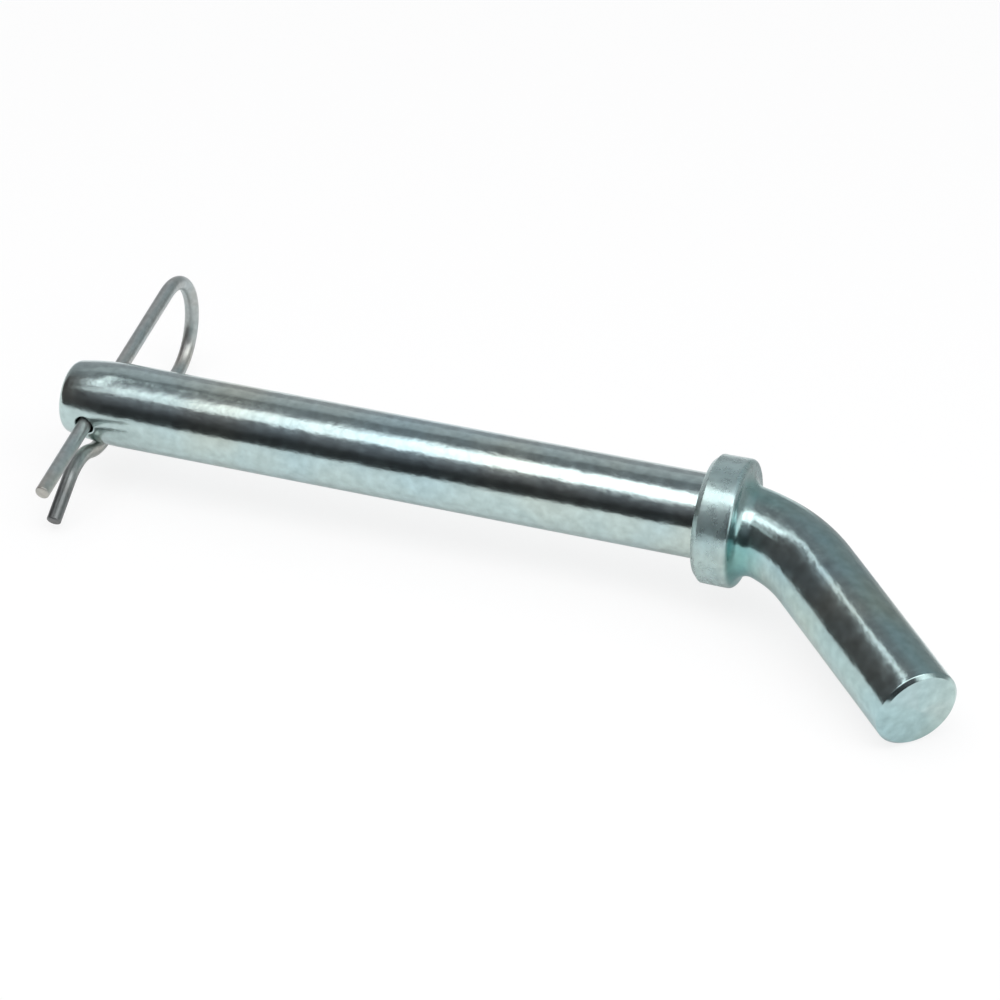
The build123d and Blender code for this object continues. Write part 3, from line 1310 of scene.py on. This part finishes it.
@dataclass(frozen=True)
class SoftBox:
    """A rectangular lamp that hangs level and looks down. Places and sizes in millimetres."""

    name: str
    middle: tuple[float, float, float]
    width: float
    depth: float
    radiance: float
    turn: float = 0.0
    in_reflections: bool = True

    def build(self) -> bpy.types.Object:
        """Makes the lamp.

        Its power is radiance times area times pi, at which a mirror shows the radiance.

        Returns:
            The lamp's object.
        """
        data = bpy.data.lights.new(self.name, "AREA")
        data.shape = "RECTANGLE"
        data.size, data.size_y = self.width * MM, self.depth * MM
        data.energy = self.radiance * data.size * data.size_y * math.pi
        lamp = bpy.data.objects.new(self.name, data)
        turned = Matrix.Rotation(math.radians(self.turn), 4, "Z")
        lamp.matrix_world = Matrix.Translation(Vector(self.middle) * MM) @ turned
        lamp.visible_glossy = self.in_reflections
        bpy.context.scene.collection.objects.link(lamp)
        return lamp


@dataclass(frozen=True)
class Floor:
    """Pale floor that glows for the camera and in reflections, and keeps the shadow.

    In reflections it fades out towards the front, where the room is dark, and it is darkened
    behind the handle by a painted shadow. Sizes and places in millimetres.
    """

    size: float = 6000.0
    colour: Colour = (0.9, 0.9, 0.9)
    glow: float = 0.84
    glow_mirrored: float = 0.3
    front_fade: tuple[float, float] = (-110.0, -240.0)
    nook_y: tuple[float, float] = (5.0, 50.0)
    nook_x: tuple[float, float] = (0.0, 15.0)
    nook_shade: float = 0.6

    def material(self, dusk: Colour) -> bpy.types.Material:
        """Makes the material.

        Args:
            dusk: What reflections show where the floor has faded out.

        Returns:
            A mix of a matte colour and a glow, shared out by the kind of ray.
        """
        made = bpy.data.materials.new("floor_pale")
        made.use_nodes = True
        tree = made.node_tree
        tree.nodes.clear()
        rays = add_node(tree, "ShaderNodeLightPath").outputs
        place = add_node(tree, "ShaderNodeTexCoord").outputs["Object"]
        spot = add_node(tree, "ShaderNodeSeparateXYZ", {"Vector": place}).outputs
        front = ramp(tree, spot["Y"], metres(self.front_fade))
        # Painted shadow behind the handle, seen only in reflections.
        behind = ramp(tree, spot["Y"], metres(self.nook_y), top=self.nook_shade)
        beside = ramp(tree, spot["X"], metres(self.nook_x))
        faded = combined(tree, "MAXIMUM", front, combined(tree, "MULTIPLY", behind, beside))
        dim = combined(tree, "MULTIPLY", faded, rays["Is Glossy Ray"])
        seen = combined(tree, "MAXIMUM", rays["Is Camera Ray"], rays["Is Transmission Ray"])
        direct = combined(tree, "MULTIPLY", seen, self.glow)
        mirrored = combined(tree, "MULTIPLY", rays["Is Glossy Ray"], self.glow_mirrored)
        share = combined(tree, "MAXIMUM", direct, mirrored)
        matte = add_node(tree, "ShaderNodeBsdfDiffuse", {"Color": rgba(self.colour)}).outputs[0]
        white = add_node(tree, "ShaderNodeEmission", {"Color": rgba(WHITE), "Strength": 1.0}).outputs[0]
        dark = add_node(tree, "ShaderNodeEmission", {"Color": rgba(dusk), "Strength": 1.0}).outputs[0]
        pale = add_node(tree, "ShaderNodeMixShader", {0: share, 1: matte, 2: white}).outputs[0]
        whole = add_node(tree, "ShaderNodeMixShader", {0: dim, 1: pale, 2: dark}).outputs[0]
        add_node(tree, "ShaderNodeOutputMaterial", {"Surface": whole})
        return made

    def build(self, height: float, dusk: Colour) -> bpy.types.Object:
        """Makes the floor.

        Args:
            height: Its height in metres.
            dusk: What reflections show where it has faded out.

        Returns:
            The floor's object.
        """
        half = self.size * MM / 2
        corners = [(x, y, height) for x, y in ((-half, -half), (half, -half), (half, half), (-half, half))]
        mesh = bpy.data.meshes.new("floor")
        mesh.from_pydata(corners, [], [(0, 1, 2, 3)])
        mesh.materials.append(self.material(dusk))
        made = bpy.data.objects.new("floor", mesh)
        bpy.context.scene.collection.objects.link(made)
        made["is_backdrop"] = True
        return made


@dataclass(frozen=True)
class Room:
    """Room that the metal mirrors: dark in front and beside the tip, grey behind, with a window.

    Each range gives the parts of a direction's unit vector between which one wall goes over
    into the next.
    """

    front_low: Colour = (0.035, 0.034, 0.036)
    front_high: Colour = (0.32, 0.3, 0.33)
    back_low: Colour = (0.42, 0.41, 0.43)
    back_high: Colour = (0.215, 0.215, 0.23)
    back_right_low: Colour = (0.285, 0.305, 0.31)
    back_right_high: Colour = (0.31, 0.38, 0.41)
    tip_side: Colour = (0.1, 0.085, 0.085)
    window: Colour = (1.5, 1.5, 1.5)
    rise: tuple[float, float] = (0.25, 0.95)
    to_back: tuple[float, float] = (-0.1, 0.2)
    to_right: tuple[float, float] = (-0.25, 0.1)
    to_tip_side: tuple[float, float] = (-0.4, -0.72)
    tip_side_ends: tuple[float, float] = (0.32, 0.12)
    window_x: tuple[float, float] = (0.5, 0.7)
    window_y: tuple[float, float] = (-0.5, -0.35)

    def build(self) -> bpy.types.World:
        """Makes the world: white to the camera, and the room to everything else.

        Returns:
            The world, which the scene then has.
        """
        world = bpy.data.worlds.new("room")
        bpy.context.scene.world = world
        world.use_nodes = True
        tree = world.node_tree
        tree.nodes.clear()
        way = add_node(tree, "ShaderNodeTexCoord").outputs["Generated"]
        parts = add_node(tree, "ShaderNodeSeparateXYZ", {"Vector": way}).outputs
        lift, behind = ramp(tree, parts["Z"], self.rise), ramp(tree, parts["Y"], self.to_back)
        right = ramp(tree, parts["X"], self.to_right)
        front = mixed(tree, lift, rgba(self.front_low), rgba(self.front_high))
        low = mixed(tree, right, rgba(self.back_low), rgba(self.back_right_low))
        high = mixed(tree, right, rgba(self.back_high), rgba(self.back_right_high))
        walls = mixed(tree, behind, front, mixed(tree, lift, low, high))
        beside, ahead = ramp(tree, parts["X"], self.to_tip_side), ramp(tree, parts["Y"], self.tip_side_ends)
        sided = mixed(tree, combined(tree, "MULTIPLY", beside, ahead), walls, rgba(self.tip_side))
        pane_x, pane_y = ramp(tree, parts["X"], self.window_x), ramp(tree, parts["Y"], self.window_y)
        opening = combined(tree, "MULTIPLY", pane_x, pane_y)
        pane = combined(tree, "MULTIPLY", opening, combined(tree, "SUBTRACT", 1.0, behind))
        lit = mixed(tree, pane, sided, rgba(self.window))
        to_camera = add_node(tree, "ShaderNodeLightPath").outputs["Is Camera Ray"]
        shown = mixed(tree, to_camera, lit, rgba(WHITE))
        light = add_node(tree, "ShaderNodeBackground", {"Color": shown, "Strength": 1.0}).outputs[0]
        add_node(tree, "ShaderNodeOutputWorld", {"Surface": light})
        return world


NEAR, FAR = 500.0, 3000.0
STRIP_TURN = -12.2
LAMPS = (
    SoftBox("key", (200.0, -175.0, NEAR), width=800.0, depth=310.0, radiance=2.2),
    SoftBox("key_middle", (-242.0, -187.0, NEAR), width=84.0, depth=288.0, radiance=1.55),
    SoftBox("key_nose", (-309.0, -222.0, NEAR), width=50.0, depth=236.0, radiance=1.05),
    SoftBox("key_end", (-369.0, -250.0, NEAR), width=70.0, depth=190.0, radiance=0.7),
    SoftBox("key_far", (-474.0, -290.0, NEAR), width=140.0, depth=120.0, radiance=0.8),
    SoftBox("key_bend", (-190.0, 0.0, NEAR), width=60.0, depth=70.0, radiance=1.0),
    SoftBox("key_collar", (-122.0, -385.0, NEAR), width=50.0, depth=110.0, radiance=2.2),
    SoftBox("card", (-340.0, 640.0, NEAR), width=420.0, depth=680.0, radiance=0.245),
    SoftBox("strip", (-1665.0, 400.0, FAR), width=170.0, depth=1500.0, turn=STRIP_TURN, radiance=2.6),
    SoftBox("strip_turn", (-1865.0, -425.0, FAR), width=370.0, depth=1150.0, turn=STRIP_TURN, radiance=1.7),
    SoftBox("fill", (0.0, 0.0, 1500.0), width=2500.0, depth=2500.0, radiance=0.85, in_reflections=False),
)


@dataclass(frozen=True)
class Studio:
    """A pale floor in a plain room, under soft lamps that the metal mirrors as bands."""

    floor: Floor = Floor()
    room: Room = Room()
    lamps: tuple[SoftBox, ...] = LAMPS

    def build(self, height: float) -> None:
        """Sets up the floor, the room and the lamps.

        Args:
            height: The floor's height in metres.
        """
        self.floor.build(height, dusk=self.room.front_low)
        self.room.build()
        for lamp in self.lamps:
            lamp.build()
        bpy.context.scene.view_settings.view_transform = "Standard"


# ------------------------------------------------------------------ the whole


def mount(name: str) -> dict:
    """The record's mount of that name."""
    return next(m for m in frame["record"]["mounts"] if m["name"] == name)


def main() -> None:
    """Builds the forging, the clip and the studio around them."""
    logging.basicConfig(level=logging.INFO, format="%(message)s", stream=sys.stdout)
    shank = mount("shank")["dims"]
    pin_low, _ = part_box("coupling_pin")
    leg = frame["joints"][0]["axis"]
    leg_turn = math.atan2(leg[2], leg[1])
    forging = Forging(
        bar_radius=shank["r_mm"], tip=pin_low.x / MM, nose_start=-shank["length_mm"], leg_turn=leg_turn
    )
    clip = SpringClip(hole_x=forging.hole_x, leg_turn=leg_turn, hug_surface=forging.hug_surface)
    kit = ShaderKit.build()
    for piece in (forging.dressed(kit), clip.dressed(kit)):
        triangles = sum(len(face.vertices) - 2 for face in piece.data.polygons)
        log.info("%s: %d triangles", piece.name, triangles)
    low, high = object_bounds()
    Studio().build(low.z)
    Viewpoint().build()


if __name__ == "__main__":
    main()
